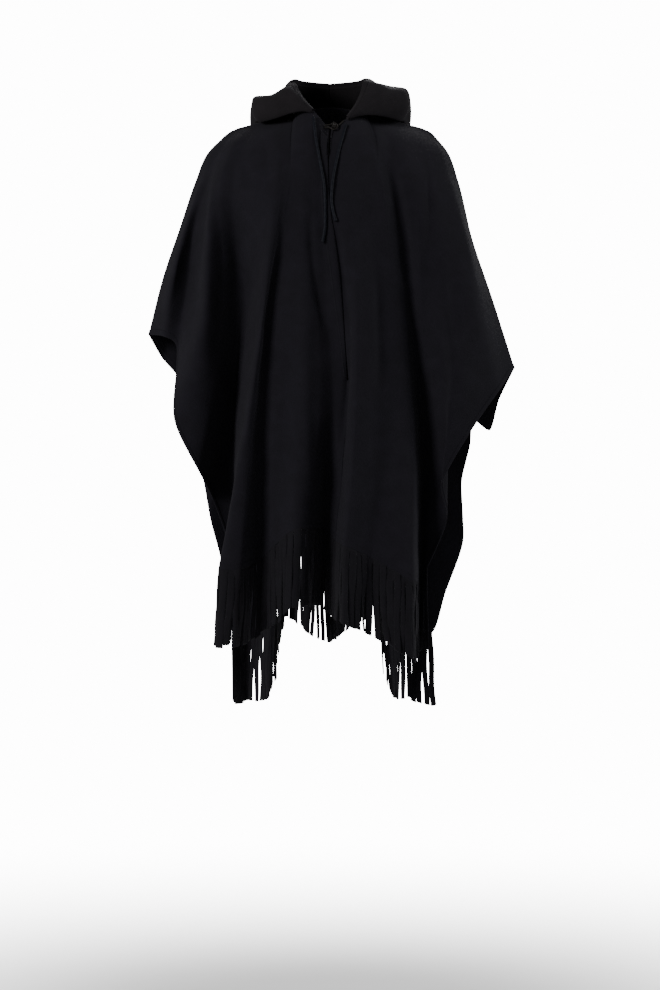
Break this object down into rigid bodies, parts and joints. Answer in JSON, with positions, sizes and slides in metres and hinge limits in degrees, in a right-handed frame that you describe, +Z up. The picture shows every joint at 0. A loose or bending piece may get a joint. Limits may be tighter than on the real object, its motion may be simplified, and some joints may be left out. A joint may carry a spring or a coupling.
{
  "type": "hooded cape",
  "caption": "Black felted wool cape with a lowered hood, a slit front closed by a frog at the throat, two hanging ties and a fringe cut along the hem.",
  "frame": {"origin": "centre of the base of the wearer's neck, level with the shoulders, where the cape is held", "axes": "+Z up, -Y the way the front faces, +X the cape's side that is on the right in the picture"},
  "size_m": [0.661, 0.3834, 1.1544],
  "materials": {
    "felted_wool": "matt black felted wool with a soft nap",
    "hood_felt": "matt black felted wool, slightly warmer",
    "fringe_felt": "matt black felted wool, cut raw",
    "frog_cord": "twisted brownish-black cord",
    "tie_cord": "smooth blue-black round cord"
  },
  "bodies": {
    "root": {"front": "felted_wool", "placket": "felted_wool", "back": "felted_wool", "hood_left": "hood_felt", "hood_right": "hood_felt", "fringe_front": "fringe_felt", "fringe_back": "fringe_felt", "frog_knot": "frog_cord", "frog_loop": "frog_cord", "frog_tail": "frog_cord", "tie_left": "tie_cord", "tie_right": "tie_cord"}
  },
  "joints": []
}
